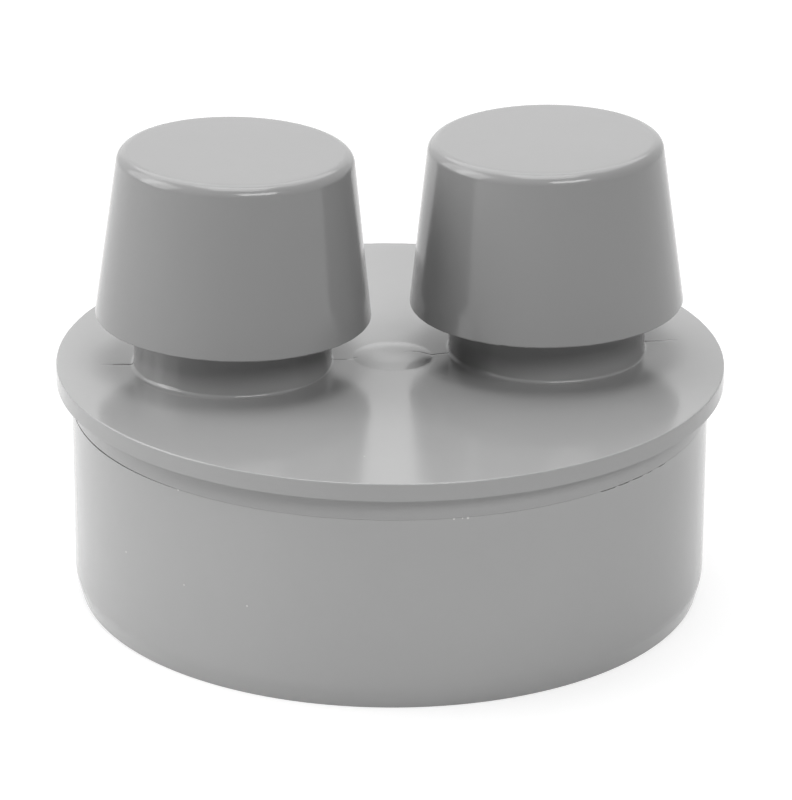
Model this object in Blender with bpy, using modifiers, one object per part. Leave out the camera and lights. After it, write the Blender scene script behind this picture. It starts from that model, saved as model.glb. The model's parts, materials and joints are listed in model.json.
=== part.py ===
# Twin-head air admittance valve for a 110 mm soil pipe, in metres, +Z up.
# The origin is the centre of the spigot's lower edge, and +X runs along the row of two heads.
# Each head is built in its own frame: its origin is on the plate's top face, at the neck's axis.

import math

import bpy
from mathutils import Matrix

# Fits between the pieces
seat_gap = 0.0003
slide_gap = 0.0003
seal_gap = 0.0002
ring_gap = 0.0004

# Spigot
pipe_diameter = 0.110
spigot_wall = 0.0032
spigot_length = 0.03385
lead_in_height = 0.0036
lead_in_angle = math.radians(15)

# Valve plate
flange_overhang = 0.00267
flange_thickness = 0.0031
flange_edge_radius = 0.0004
band_height = 0.00435
collar_wall = 0.0022
collar_length = 0.0070
collar_chamfer = 0.0006
gate_dome_radius = 0.0069
gate_dome_height = 0.00045

# Necks
neck_bore_radius = 0.0150
neck_wall = 0.0020
neck_height = 0.0170
neck_fillet = 0.0008
cap_spacing_gap = 0.00746
head_lean = math.radians(1.28)

# Caps
inlet_gap = 0.00506
cap_wall = 0.0016
cap_top_wall = 0.0020
cap_taper = math.radians(7.14)
cap_skirt = 0.01535
cap_edge_radius = 0.0017
cap_inner_radius = 0.0008
cap_rim_chamfer = 0.0003
guide_pin_radius = 0.0020
guide_pin_overrun = 0.0002
ceiling_gap = 0.00035

# Lugs inside the caps
lug_count = 6
snap_lug_catch = 0.0005
snap_lug_thickness = 0.0010
snap_lug_width = 0.0040
stop_lug_height = 0.0040
stop_lug_width = 0.0020
stop_lug_gap = 0.00035

# Seat inserts
insert_floor = 0.0015
insert_tube_wall = 0.0016
insert_collar_wall = 0.0024
insert_collar_length = 0.0068
insert_chamfer = 0.0004
window_height = 0.0027
ring_wall = 0.00183
ring_height = 0.0029
lip_height = 0.0006
lip_width = 0.0007
lip_side = 0.0004
groove_depth = 0.0010
rib_count = 6
rib_thickness = 0.0015
rib_overlap = 0.0005

# Diaphragms and their carriers
lift = 0.0040
rubber_thickness = 0.0015
rubber_overhang = 0.0002
spool_wall = 0.0014
spool_lip_depth = 0.0012
spool_lip_thickness = 0.0008
spool_lip_gap = 0.0005
spool_opening = 0.0033
hub_wall = 0.0013
hub_rise = 0.0039
disc_thickness = 0.0010
disc_inset = 0.0006
spoke_count = 3
spoke_width = 0.0016
spoke_height = 0.0020

# Insect screens
screen_hub_wall = 0.0010
screen_hub_height = 0.0034
screen_drop = 0.0005
screen_thickness = 0.0010
screen_rim = 0.0005
slot_count = 20
slot_width = 0.0034

# Facets round each turned piece
plate_facets = 64
cap_facets = 40
inner_facets = 32
seal_facets = 28
arc_steps = 3
seal_section_sides = 6
cutter_margin = 0.0010

# Heights above the spigot's lower edge
pipe_radius = pipe_diameter / 2
flange_radius = pipe_radius + flange_overhang
band_bottom = spigot_length + seat_gap
flange_underside = band_bottom + band_height
plate_top = flange_underside + flange_thickness

# Heights above the plate, going up through a head
floor_bottom = neck_height + seat_gap
floor_top = floor_bottom + insert_floor
ring_bottom = floor_top + window_height
shoulder = ring_bottom + ring_height
seat_height = shoulder + lip_height
rubber_bottom = seat_height + seat_gap
rubber_top = rubber_bottom + rubber_thickness
disc_bottom = rubber_top + seat_gap
disc_top = disc_bottom + disc_thickness
hub_top = disc_top + hub_rise
spool_lip_top = rubber_bottom - seat_gap
spool_bottom = spool_lip_top - spool_lip_thickness
guide_pin_tip = spool_bottom - guide_pin_overrun
ceiling = hub_top + lift + ceiling_gap
cap_top = ceiling + cap_top_wall
cap_rim = shoulder - cap_skirt

# Radii going out from a head's axis
hub_bore = guide_pin_radius + slide_gap
hub_radius = hub_bore + hub_wall
spool_bore = hub_radius + spool_opening
spool_radius = spool_bore + spool_wall
rubber_bore = spool_radius + seat_gap
spool_lip_radius = spool_radius + spool_lip_depth
tube_bore = spool_lip_radius + spool_lip_gap
tube_radius = tube_bore + insert_tube_wall
neck_radius = neck_bore_radius + neck_wall
cap_slope = math.tan(cap_taper)
cap_side_wall = cap_wall / math.cos(cap_taper)
cap_rim_radius = neck_radius + inlet_gap + cap_side_wall
head_offset = cap_rim_radius + cap_spacing_gap / 2


def cap_outside(height):
    """Outer radius of a cap's tapered side at a height above the plate."""
    return cap_rim_radius - cap_slope * (height - cap_rim)


def cap_inside(height):
    """Inner radius of a cap's tapered side at a height above the plate."""
    return cap_outside(height) - cap_side_wall


ring_radius = cap_inside(shoulder) - ring_gap
ring_bore = ring_radius - ring_wall
rubber_radius = ring_bore + lip_width + rubber_overhang
disc_radius = rubber_radius - disc_inset

for old in list(bpy.data.objects):
    bpy.data.objects.remove(old)

parts = bpy.data.collections.new("air_admittance_valve")
tools = bpy.data.collections.new("shaping_tools")
bpy.context.scene.collection.children.link(parts)
bpy.context.scene.collection.children.link(tools)


def finish(name, colour, roughness):
    """A plain plastic or rubber material."""
    material = bpy.data.materials.new(name)
    material.use_nodes = True
    shader = material.node_tree.nodes["Principled BSDF"]
    shader.inputs["Base Color"].default_value = (*colour, 1)
    shader.inputs["Roughness"].default_value = roughness
    shader.inputs["Metallic"].default_value = 0
    material.diffuse_color = (*colour, 1)
    return material


plate_grey = finish("plate_grey", (0.40, 0.40, 0.40), 0.35)
spigot_grey = finish("spigot_grey", (0.38, 0.38, 0.38), 0.38)
cap_grey = finish("cap_grey", (0.42, 0.42, 0.42), 0.35)
insert_white = finish("insert_white", (0.75, 0.75, 0.72), 0.40)
carrier_white = finish("carrier_white", (0.70, 0.70, 0.68), 0.40)
screen_grey = finish("screen_grey", (0.20, 0.20, 0.20), 0.50)
diaphragm_rubber = finish("diaphragm_rubber", (0.03, 0.03, 0.03), 0.65)
seal_rubber = finish("seal_rubber", (0.02, 0.02, 0.02), 0.60)


def arc(centre_radius, centre_height, radius, start, end, steps=arc_steps):
    """Points of (radius, height) on an arc between two angles, ends included."""
    angles = [start + (end - start) * step / steps for step in range(steps + 1)]
    return [
        (centre_radius + radius * math.cos(angle), centre_height + radius * math.sin(angle))
        for angle in angles
    ]


def turned(name, outline, facets, holder=None, collection=parts):
    """Turn an outline of (radius, height) points about Z. It runs down its outer side."""
    corners = [(radius, 0, height) for radius, height in outline]
    edges = [(corner, corner + 1) for corner in range(len(corners) - 1)]
    if outline[0][0] > 0:
        edges.append((len(corners) - 1, 0))
    profile = bpy.data.meshes.new(name + "_profile")
    profile.from_pydata(corners, edges, [])
    piece = bpy.data.objects.new(name, profile)
    collection.objects.link(piece)
    turn = piece.modifiers.new("turn", "SCREW")
    turn.axis = "Z"
    turn.steps = facets
    turn.render_steps = facets
    turn.use_merge_vertices = True
    turn.merge_threshold = 0.00001
    bpy.context.view_layer.update()
    evaluated = piece.evaluated_get(bpy.context.evaluated_depsgraph_get())
    body = bpy.data.meshes.new_from_object(evaluated)
    body.name = name
    body.shade_smooth()
    body.set_sharp_from_angle(angle=math.radians(35))
    piece.modifiers.clear()
    piece.data = body
    bpy.data.meshes.remove(profile)
    piece.parent = holder
    return piece


def radial_blocks(name, count, inner, outer, width, bottom, top, holder, turn_by=0.0):
    """Upright blocks in a ring about Z, each running outwards from its inner radius."""
    blocks = bpy.data.meshes.new(name)
    corners = []
    faces = []
    for index in range(count):
        turn = Matrix.Rotation(turn_by + 2 * math.pi * index / count, 4, "Z")
        first = len(corners)
        for height in (bottom, top):
            for radius, side in ((inner, -1), (outer, -1), (outer, 1), (inner, 1)):
                corner = turn @ Matrix.Translation((radius, side * width / 2, height))
                corners.append(corner.to_translation())
        faces.append([first + corner for corner in (3, 2, 1, 0)])
        faces.append([first + corner for corner in (4, 5, 6, 7)])
        for corner in range(4):
            beside = (corner + 1) % 4
            faces.append([first + corner, first + beside, first + beside + 4, first + corner + 4])
    blocks.from_pydata(corners, [], faces)
    ring = bpy.data.objects.new(name, blocks)
    tools.objects.link(ring)
    ring.parent = holder
    return ring


def shape_with(piece, tool, operation):
    """Join a tool to a piece, or cut it out of the piece."""
    step = piece.modifiers.new(tool.name, "BOOLEAN")
    step.operation = operation
    step.solver = "EXACT"
    step.object = tool
    tool.hide_render = True
    tool.display_type = "WIRE"


def paint(piece, material):
    piece.data.materials.append(material)
    return piece


def make_spigot_sleeve():
    """The plain tube that goes into the pipe's socket, chamfered at its lower edge."""
    bore = pipe_radius - spigot_wall
    tip = pipe_radius - lead_in_height * math.tan(lead_in_angle)
    outline = [
        (pipe_radius, spigot_length),
        (pipe_radius, lead_in_height),
        (tip, 0),
        (bore, 0),
        (bore, spigot_length),
    ]
    return paint(turned("spigot_sleeve", outline, plate_facets), spigot_grey)


def make_valve_plate(heads):
    """The top plate with its flange, the band above the seam, the collar and both necks."""
    dome_sphere = (gate_dome_radius**2 + gate_dome_height**2) / (2 * gate_dome_height)
    dome_edge = math.asin(gate_dome_radius / dome_sphere)
    dome_centre = plate_top + gate_dome_height - dome_sphere
    dome = arc(0, dome_centre, dome_sphere, math.pi / 2, math.pi / 2 - dome_edge)
    dome[0] = (0, plate_top + gate_dome_height)
    edge = arc(
        flange_radius - flange_edge_radius,
        plate_top - flange_edge_radius,
        flange_edge_radius,
        math.pi / 2,
        0,
    )
    collar_radius = pipe_radius - spigot_wall - seat_gap
    collar_bore = collar_radius - collar_wall
    collar_bottom = band_bottom - collar_length
    outline = dome + edge + [
        (flange_radius, flange_underside),
        (pipe_radius, flange_underside),
        (pipe_radius, band_bottom),
        (collar_radius, band_bottom),
        (collar_radius, collar_bottom + collar_chamfer),
        (collar_radius - collar_chamfer, collar_bottom),
        (collar_bore, collar_bottom),
        (collar_bore, flange_underside),
        (0, flange_underside),
    ]
    plate = paint(turned("valve_plate", outline, plate_facets), plate_grey)
    for side, holder in heads.items():
        shape_with(plate, neck_blank(side, holder), "UNION")
    for side, holder in heads.items():
        shape_with(plate, neck_bore(side, holder), "DIFFERENCE")
    return plate


def neck_blank(side, holder):
    """A solid neck with a small fillet at its foot, let into the plate."""
    foot_radius = neck_radius + neck_fillet
    foot_bottom = -flange_thickness / 2
    outline = [(0, neck_height), (neck_radius, neck_height)]
    outline += arc(foot_radius, neck_fillet, neck_fillet, math.pi, 1.5 * math.pi)
    outline += [(foot_radius, foot_bottom), (0, foot_bottom)]
    return turned(f"neck_blank_{side}", outline, cap_facets, holder, tools)


def neck_bore(side, holder):
    """The air way through a neck and the plate."""
    top = neck_height + cutter_margin
    bottom = -flange_thickness - cutter_margin
    outline = [(0, top), (neck_bore_radius, top), (neck_bore_radius, bottom), (0, bottom)]
    bore = turned(f"neck_bore_{side}", outline, cap_facets, holder, tools)
    # Half a facet round, so that none of its corners meets an edge of the blank.
    bore.rotation_euler.z = math.pi / cap_facets
    return bore


def make_cap(side, holder):
    """The tapered cap with its guide pin, the stops that hold the insert down and its snaps."""
    outer_edge = arc(
        cap_outside(cap_top) - cap_edge_radius * math.tan((math.pi / 2 - cap_taper) / 2),
        cap_top - cap_edge_radius,
        cap_edge_radius,
        math.pi / 2,
        cap_taper,
    )
    inner_edge = arc(
        cap_inside(ceiling) - cap_inner_radius * math.tan((math.pi / 2 - cap_taper) / 2),
        ceiling - cap_inner_radius,
        cap_inner_radius,
        cap_taper,
        math.pi / 2,
        steps=1,
    )
    outline = [(0, cap_top)] + outer_edge + [
        (cap_outside(cap_rim + cap_rim_chamfer), cap_rim + cap_rim_chamfer),
        (cap_rim_radius - cap_rim_chamfer, cap_rim),
        (cap_inside(cap_rim), cap_rim),
    ] + inner_edge + [
        (guide_pin_radius, ceiling),
        (guide_pin_radius, guide_pin_tip + cap_rim_chamfer),
        (guide_pin_radius - cap_rim_chamfer, guide_pin_tip),
        (0, guide_pin_tip),
    ]
    cap = paint(turned(f"cap_{side}", outline, cap_facets, holder), cap_grey)
    stop_bottom = shoulder + seat_gap
    stops = radial_blocks(
        f"stop_lugs_{side}",
        lug_count,
        rubber_radius + stop_lug_gap,
        cap_inside(stop_bottom) + cap_wall / 2,
        stop_lug_width,
        stop_bottom,
        stop_bottom + stop_lug_height,
        holder,
    )
    snap_top = ring_bottom - seat_gap
    snaps = radial_blocks(
        f"snap_lugs_{side}",
        lug_count,
        ring_radius - snap_lug_catch,
        cap_inside(snap_top) + cap_wall / 2,
        snap_lug_width,
        snap_top - snap_lug_thickness,
        snap_top,
        holder,
        turn_by=math.pi / lug_count,
    )
    shape_with(cap, stops, "UNION")
    shape_with(cap, snaps, "UNION")
    return cap


def neck_groove():
    """Middle height, bottom radius and half height of the groove in the insert's collar."""
    collar_radius = neck_bore_radius - slide_gap
    bottom_radius = collar_radius - groove_depth
    section = (neck_bore_radius - bottom_radius) / 2 - seal_gap
    middle = floor_bottom - insert_collar_length / 2
    return middle, bottom_radius, section + seal_gap


def cap_groove():
    """Middle height, bottom radius and half height of the groove in the insert's outer ring."""
    middle = (ring_bottom + shoulder) / 2
    bottom_radius = ring_radius - groove_depth
    section = (cap_inside(middle) - bottom_radius) / 2 - seal_gap
    return middle, bottom_radius, section + seal_gap


def grooved_side(radius, groove):
    """The four outline points of a groove in a side, from the top down."""
    middle, bottom_radius, half_height = groove
    return [
        (radius, middle + half_height),
        (bottom_radius, middle + half_height),
        (bottom_radius, middle - half_height),
        (radius, middle - half_height),
    ]


def make_seat_insert(side, holder):
    """The rigid insert: collar in the neck, floor on its rim, tube, outer ring and ribs."""
    collar_radius = neck_bore_radius - slide_gap
    collar_bore = collar_radius - insert_collar_wall
    collar_bottom = floor_bottom - insert_collar_length
    inner = [
        (tube_radius - lip_side, seat_height),
        (tube_radius, seat_height - lip_height),
        (tube_radius, floor_top),
        (neck_radius, floor_top),
        (neck_radius, floor_bottom),
        (collar_radius, floor_bottom),
    ] + grooved_side(collar_radius, neck_groove()) + [
        (collar_radius, collar_bottom + insert_chamfer),
        (collar_radius - insert_chamfer, collar_bottom),
        (collar_bore, collar_bottom),
        (collar_bore, floor_bottom),
        (tube_bore, floor_bottom),
        (tube_bore, seat_height - lip_height),
        (tube_bore + lip_side, seat_height),
    ]
    insert = paint(turned(f"seat_insert_{side}", inner, inner_facets, holder), insert_white)
    outer = [(ring_radius, shoulder)] + grooved_side(ring_radius, cap_groove()) + [
        (ring_radius, ring_bottom),
        (ring_bore, ring_bottom),
        (ring_bore, seat_height),
        (ring_bore + lip_width, seat_height),
        (ring_bore + lip_width, shoulder),
    ]
    ring = turned(f"outer_ring_{side}", outer, inner_facets, holder, tools)
    ribs = radial_blocks(
        f"ribs_{side}",
        rib_count,
        tube_radius - insert_tube_wall / 2,
        ring_bore + rib_overlap,
        rib_thickness,
        floor_top - rib_overlap,
        shoulder - lip_height,
        holder,
    )
    shape_with(insert, ribs, "UNION")
    shape_with(insert, ring, "UNION")
    return insert


def make_seal(name, groove, wall_radius, holder):
    """A round sealing ring in its groove, clear of the groove's floor and the wall."""
    middle, bottom_radius, _ = groove
    section = (wall_radius - bottom_radius) / 2 - seal_gap
    ring_middle = (wall_radius + bottom_radius) / 2
    sides = arc(ring_middle, middle, section, math.pi, -math.pi, seal_section_sides)[:-1]
    return paint(turned(name, sides, seal_facets, holder), seal_rubber)


def make_diaphragm(side, holder):
    """The rubber ring that closes both lips of the seat insert."""
    outline = [
        (rubber_radius, rubber_top),
        (rubber_radius, rubber_bottom),
        (rubber_bore, rubber_bottom),
        (rubber_bore, rubber_top),
    ]
    return paint(turned(f"diaphragm_{side}", outline, inner_facets, holder), diaphragm_rubber)


def make_carrier(side, holder):
    """The rigid spool: a disc over the rubber, a lip under it, and a hub on the guide pin."""
    spool = [
        (disc_radius, disc_top),
        (disc_radius, disc_bottom),
        (spool_radius, disc_bottom),
        (spool_radius, spool_lip_top),
        (spool_lip_radius, spool_lip_top),
        (spool_lip_radius, spool_bottom),
        (spool_bore, spool_bottom),
        (spool_bore, disc_top),
    ]
    carrier = paint(turned(f"carrier_{side}", spool, inner_facets, holder), carrier_white)
    hub = turned(
        f"hub_{side}",
        [
            (hub_radius, hub_top),
            (hub_radius, spool_bottom),
            (hub_bore, spool_bottom),
            (hub_bore, hub_top),
        ],
        inner_facets,
        holder,
        tools,
    )
    spokes = radial_blocks(
        f"spokes_{side}",
        spoke_count,
        hub_radius - hub_wall / 2,
        spool_bore + spool_wall / 2,
        spoke_width,
        disc_top - spoke_height,
        disc_top - disc_thickness / 2,
        holder,
    )
    shape_with(carrier, spokes, "UNION")
    shape_with(carrier, hub, "UNION")
    return carrier


def make_insect_screen(side, holder):
    """The slotted ring pushed on the neck, across the air inlet."""
    hub_inner = neck_radius + slide_gap
    hub_outer = hub_inner + screen_hub_wall
    hub_end = neck_height - screen_drop
    web_bottom = hub_end - screen_hub_height
    web_top = web_bottom + screen_thickness
    rim_radius = cap_inside(web_top) - slide_gap
    outline = [
        (hub_outer, hub_end),
        (hub_outer, web_top),
        (rim_radius, web_top),
        (rim_radius, web_bottom),
        (hub_inner, web_bottom),
        (hub_inner, hub_end),
    ]
    screen = paint(turned(f"insect_screen_{side}", outline, inner_facets, holder), screen_grey)
    slots = radial_blocks(
        f"screen_slots_{side}",
        slot_count,
        hub_outer + screen_rim,
        rim_radius - screen_rim,
        slot_width,
        web_bottom - cutter_margin,
        web_top + cutter_margin,
        holder,
    )
    shape_with(screen, slots, "DIFFERENCE")
    return screen


def place_heads():
    """An empty on each head's leaning axis, where it meets the plate's top face."""
    heads = {}
    for side, direction in (("left", -1), ("right", 1)):
        axis = bpy.data.objects.new(f"head_{side}_axis", None)
        parts.objects.link(axis)
        axis.location = (direction * head_offset, 0, plate_top)
        axis.rotation_euler = (0, -direction * head_lean, 0)
        heads[side] = axis
    return heads


def make_valve():
    heads = place_heads()
    make_spigot_sleeve()
    make_valve_plate(heads)
    for side, holder in heads.items():
        make_cap(side, holder)
        make_seat_insert(side, holder)
        make_seal(f"neck_seal_{side}", neck_groove(), neck_bore_radius, holder)
        make_seal(f"cap_seal_{side}", cap_groove(), cap_inside(cap_groove()[0]), holder)
        make_diaphragm(side, holder)
        make_carrier(side, holder)
        make_insect_screen(side, holder)


make_valve()
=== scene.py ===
# Air admittance valve: its looks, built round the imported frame.
# Sizes in the dictionaries are in millimetres. A head's own heights are above the plate's top face.
import bmesh
import bpy
import json
import math
from mathutils import Matrix, Vector, noise


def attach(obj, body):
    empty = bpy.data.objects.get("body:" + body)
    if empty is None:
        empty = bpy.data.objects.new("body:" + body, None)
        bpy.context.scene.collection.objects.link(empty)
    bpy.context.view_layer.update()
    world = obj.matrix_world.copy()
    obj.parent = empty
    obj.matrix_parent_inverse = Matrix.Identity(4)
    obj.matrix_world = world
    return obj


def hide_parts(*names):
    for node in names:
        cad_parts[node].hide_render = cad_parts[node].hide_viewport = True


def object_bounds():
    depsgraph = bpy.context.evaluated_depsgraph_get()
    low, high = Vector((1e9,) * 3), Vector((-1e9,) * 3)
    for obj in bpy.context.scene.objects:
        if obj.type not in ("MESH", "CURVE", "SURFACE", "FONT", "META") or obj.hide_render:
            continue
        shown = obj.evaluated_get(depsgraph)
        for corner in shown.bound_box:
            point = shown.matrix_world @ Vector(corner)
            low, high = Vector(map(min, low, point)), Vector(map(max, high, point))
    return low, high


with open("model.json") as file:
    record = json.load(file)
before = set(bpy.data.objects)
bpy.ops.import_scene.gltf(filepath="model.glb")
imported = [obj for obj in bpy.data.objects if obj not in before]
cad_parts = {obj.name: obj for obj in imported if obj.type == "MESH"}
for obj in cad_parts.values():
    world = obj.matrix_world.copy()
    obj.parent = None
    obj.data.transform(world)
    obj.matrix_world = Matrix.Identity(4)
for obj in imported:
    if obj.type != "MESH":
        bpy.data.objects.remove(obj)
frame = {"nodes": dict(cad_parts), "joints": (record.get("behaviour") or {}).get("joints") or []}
cadLow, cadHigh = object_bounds()
print("frame loaded:", len(frame["nodes"]), "CAD nodes")

mm = 0.001
near = 0.005 * mm  # corners this close to a ring or a level count as lying on it
merged = 0.001 * mm  # corners this close to each other become one

head = {
    "offset": 27.4025,  # from the valve's axis to a head's axis, at the plate's top
    "plateTop": 41.6,
    "steps": 160,
}
sides = {"left": -1, "right": 1}
liftJoints = {side: joint for side in sides for joint in frame["joints"] if side in joint["name"]}


def headPlace(side):
    leanAxis = Vector(liftJoints[side]["axis"])
    lean = Matrix.Rotation(math.atan2(leanAxis.x, leanAxis.z), 4, "Y")
    return Matrix.Translation(Vector((sides[side] * head["offset"], 0, head["plateTop"])) * mm) @ lean


def spinOutline(bm, outline, steps, closed=True):
    corners = [bm.verts.new((radius * mm, 0, height * mm)) for radius, height in outline]
    edges = [bm.edges.new(pair) for pair in zip(corners, corners[1:])]
    if closed:
        edges.append(bm.edges.new((corners[-1], corners[0])))
    bmesh.ops.spin(
        bm,
        geom=corners + edges,
        cent=(0, 0, 0),
        axis=(0, 0, 1),
        angle=2 * math.pi,
        steps=steps,
        use_merge=True,
    )
    cleanUp(bm)


def cleanUp(bm):
    bmesh.ops.remove_doubles(bm, verts=bm.verts, dist=merged)
    bmesh.ops.recalc_face_normals(bm, faces=bm.faces)


def ringEdges(bm, radius, height, place=Matrix.Identity(4)):
    back = place.inverted()
    found = []
    for edge in bm.edges:
        ends = [back @ vert.co for vert in edge.verts]
        if all(
            abs(end.z - height * mm) < near and abs(math.hypot(end.x, end.y) - radius * mm) < near
            for end in ends
        ):
            found.append(edge)
    return found


def roundRing(bm, radius, height, size, segments, place=Matrix.Identity(4)):
    bmesh.ops.bevel(
        bm,
        geom=ringEdges(bm, radius, height, place),
        offset=size * mm,
        offset_type="OFFSET",
        segments=segments,
        profile=0.5,
        affect="EDGES",
        material=-1,
        clamp_overlap=True,
    )


def roundRings(bm, sizes, roundings="roundings", place=Matrix.Identity(4)):
    # Each rounding names a radius and a height of the same dictionary, then gives its size and its segments.
    for radius, height, size, segments in sizes[roundings]:
        roundRing(bm, sizes[radius], sizes[height], size, segments, place)


def mergeInto(bm, other):
    mesh = bpy.data.meshes.new("merged")
    other.to_mesh(mesh)
    other.free()
    bm.from_mesh(mesh)
    bpy.data.meshes.remove(mesh)


def unevenEdge(bm, chosen, wear):
    # Presses the chosen corners in by a slowly changing part of the wear's depth, as on a moulded edge.
    bm.normal_update()
    for vert in chosen:
        share = abs(noise.noise(vert.co / (wear["spacing"] * mm)))
        vert.co -= vert.normal * min(1.0, share * 2) * wear["depth"] * mm


def addBlocks(bm, blocks, inner, outer, bottom, top):
    size = Vector((outer - inner, blocks["width"], top - bottom)) * mm
    middle = Vector((outer + inner, 0, top + bottom)) / 2 * mm
    for index in range(blocks["count"]):
        angle = math.radians(blocks.get("turnBy", 0)) + 2 * math.pi * index / blocks["count"]
        turn = Matrix.Rotation(angle, 4, "Z")
        shape = turn @ Matrix.Translation(middle) @ Matrix.Diagonal((*size, 1))
        bmesh.ops.create_cube(bm, size=1, matrix=shape)


def finishPiece(name, bm, material, body, node, place=None, sharpAngle=32):
    if place is not None:
        bmesh.ops.transform(bm, matrix=place, verts=bm.verts)
    mesh = bpy.data.meshes.new(name)
    bm.to_mesh(mesh)
    bm.free()
    mesh.materials.append(material)
    mesh.shade_smooth()
    mesh.set_sharp_from_angle(angle=math.radians(sharpAngle))
    piece = bpy.data.objects.new(name, mesh)
    bpy.context.scene.collection.objects.link(piece)
    evenShading = piece.modifiers.new("evenShading", "WEIGHTED_NORMAL")
    evenShading.keep_sharp = True
    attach(piece, body)
    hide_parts(node)
    return piece


floatSocket = "NodeSocketFloat"
vectorSocket = "NodeSocketVector"


class NodeBench:  # adds nodes to one tree, with their inputs given as values or as other nodes' outputs
    def __init__(self, tree):
        self.tree = tree

    def add(self, kind, inputs=None, **settings):
        node = self.tree.nodes.new(kind)
        for key, value in settings.items():
            setattr(node, key, value)
        for key, value in (inputs or {}).items():
            self.feed(node.inputs[key], value)
        return node

    def feed(self, socket, value):
        if isinstance(value, bpy.types.NodeSocket):
            self.tree.links.new(value, socket)
        else:
            socket.default_value = value

    def calculate(self, operation, *values):
        return self.add("ShaderNodeMath", dict(enumerate(values)), operation=operation).outputs[0]

    def noise(self, position, scale, detail=2.0):
        inputs = {"Vector": position, "Scale": scale, "Detail": detail}
        return self.add("ShaderNodeTexNoise", inputs).outputs[0]

    def group(self, group, inputs):
        return self.add("ShaderNodeGroup", inputs, node_tree=group).outputs

    def mix(self, share, first, second):
        inputs = {0: share, 6: first, 7: second}
        return self.add("ShaderNodeMix", inputs, data_type="RGBA").outputs[2]


def newGroup(name, inputs, outputs):
    group = bpy.data.node_groups.new(name, "ShaderNodeTree")
    for label, kind in inputs:
        group.interface.new_socket(name=label, in_out="INPUT", socket_type=kind)
    for label, kind in outputs:
        group.interface.new_socket(name=label, in_out="OUTPUT", socket_type=kind)
    bench = NodeBench(group)
    return group, bench, bench.add("NodeGroupInput").outputs, bench.add("NodeGroupOutput").inputs


patterns = {
    # how fine each noise is, and how much of the finer ones joins the slow drift of tone
    "drift": 34.0,
    "mottle": 310.0,
    "grain": 2400.0,
    "swell": 85.0,
    "mottleShare": 0.30,
    "grainShare": 0.22,
    # specks: their smallest reach and its spread, as shares of a cell
    "speckReach": 0.018,
    "speckSpread": 0.030,
    "lineWaves": 190.0,  # how fine the waves of a knit line are
}


def makeMouldedSkin():
    # Slow tone drift, faint flow mottle and the fine grain of an injection moulding.
    group, bench, given, out = newGroup(
        "mouldedSkin",
        [
            ("Position", vectorSocket),
            ("Tone", floatSocket),
            ("Gloss Drift", floatSocket),
            ("Grain", floatSocket),
            ("Swell", floatSocket),
        ],
        [("Shade", floatSocket), ("Gloss Shift", floatSocket), ("Height", floatSocket)],
    )
    calculate = bench.calculate
    drift = calculate("SUBTRACT", bench.noise(given["Position"], patterns["drift"]), 0.5)
    mottle = calculate("SUBTRACT", bench.noise(given["Position"], patterns["mottle"], 3.0), 0.5)
    grain = calculate("SUBTRACT", bench.noise(given["Position"], patterns["grain"]), 0.5)
    swell = calculate("SUBTRACT", bench.noise(given["Position"], patterns["swell"], 1.0), 0.5)
    cloud = calculate("MULTIPLY_ADD", mottle, patterns["mottleShare"], drift)
    tone = calculate("MULTIPLY_ADD", grain, patterns["grainShare"], cloud)
    bench.feed(out["Shade"], calculate("MULTIPLY_ADD", tone, given["Tone"], 1.0))
    unrest = calculate("ADD", mottle, swell)
    bench.feed(out["Gloss Shift"], calculate("MULTIPLY", unrest, given["Gloss Drift"]))
    rise = calculate("MULTIPLY", swell, given["Swell"])
    bench.feed(out["Height"], calculate("MULTIPLY_ADD", grain, given["Grain"], rise))
    return group


def makePaleSpecks():
    # Tiny pale specks of dust and scuffed plastic, sparse and uneven in size.
    group, bench, given, out = newGroup(
        "paleSpecks",
        [("Position", vectorSocket), ("Spacing", floatSocket), ("Share", floatSocket)],
        [("Mask", floatSocket)],
    )
    calculate = bench.calculate
    cells = bench.add("ShaderNodeTexVoronoi", {"Vector": given["Position"], "Scale": given["Spacing"]})
    draw = bench.add("ShaderNodeSeparateColor", {0: cells.outputs["Color"]}).outputs
    chosen = calculate("LESS_THAN", draw[0], given["Share"])
    reach = calculate("MULTIPLY_ADD", draw[1], patterns["speckSpread"], patterns["speckReach"])
    dot = calculate("LESS_THAN", cells.outputs["Distance"], reach)
    bench.feed(out["Mask"], calculate("MULTIPLY", calculate("MULTIPLY", chosen, dot), draw[2]))
    return group


lineLengths = {  # a knit line's inputs that are lengths, with their keys in its dictionary
    "Start": "start",
    "End": "end",
    "Middle": "middle",
    "Width": "width",
    "Wave": "wave",
    "Fade In": "fadeIn",
    "Fade Out": "fadeOut",
    "Level": "level",
    "Reach": "reach",
}


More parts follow.
